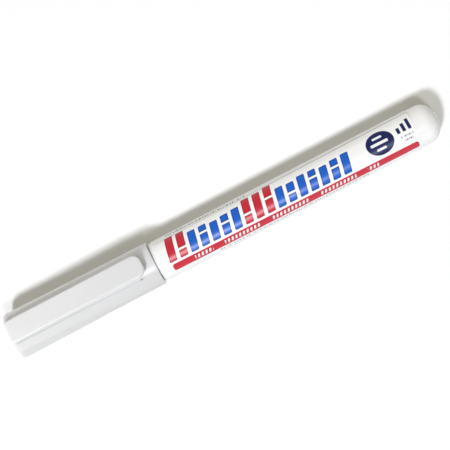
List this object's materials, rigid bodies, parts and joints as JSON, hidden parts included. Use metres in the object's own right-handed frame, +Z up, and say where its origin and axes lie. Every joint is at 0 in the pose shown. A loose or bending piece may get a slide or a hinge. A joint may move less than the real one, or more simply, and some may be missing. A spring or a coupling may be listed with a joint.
{
  "type": "paint marker",
  "caption": "Slim valve-action paint marker with a pull-off clip cap that turns from ten-sided to round, a label-wrapped tubular barrel and a sprung bullet nib.",
  "frame": {"origin": "centre of the bounding box's bottom face, on the surface that the marker lies on", "axes": "+X along the marker from the cap to the tail, +Z up, out of the clip's face"},
  "size_m": [0.138, 0.0142, 0.0161],
  "materials": {
    "cap_plastic": "satin",
    "seal_plastic": "satin",
    "barrel_lacquer": "satin",
    "label_print": "satin",
    "mouthpiece_plastic": "satin",
    "nib_fibre": "matte",
    "valve_plastic": "satin",
    "seat_rubber": "matte",
    "spring_steel": "satin",
    "cage_plastic": "satin",
    "ball_steel": "polished"
  },
  "bodies": {
    "barrel": {"barrel": "barrel_lacquer", "label": "label_print", "mouthpiece": "mouthpiece_plastic", "valve_seat": "seat_rubber", "valve_spring": "spring_steel", "spring_cage": "cage_plastic"},
    "cap": {"cap": "cap_plastic", "inner_cap": "seal_plastic"},
    "nib": {"nib": "nib_fibre", "valve_rod": "valve_plastic"},
    "mixing_ball": {"mixing_ball": "ball_steel"}
  },
  "joints": [
    {"name": "cap_pull", "type": "slide", "parent": "barrel", "child": "cap", "axis": [-1, 0, 0], "range_m": [0, 0.04]},
    {"name": "nib_press", "type": "slide", "parent": "barrel", "child": "nib", "axis": [1, 0, 0], "range_m": [0, 0.0015], "stiffness_N_per_m": 800, "springref_m": -0.001, "deforming": ["valve_spring"]},
    {"name": "ball_roll", "type": "slide", "parent": "barrel", "child": "mixing_ball", "axis": [1, 0, 0], "range_m": [-0.027, 0.0344]}
  ]
}
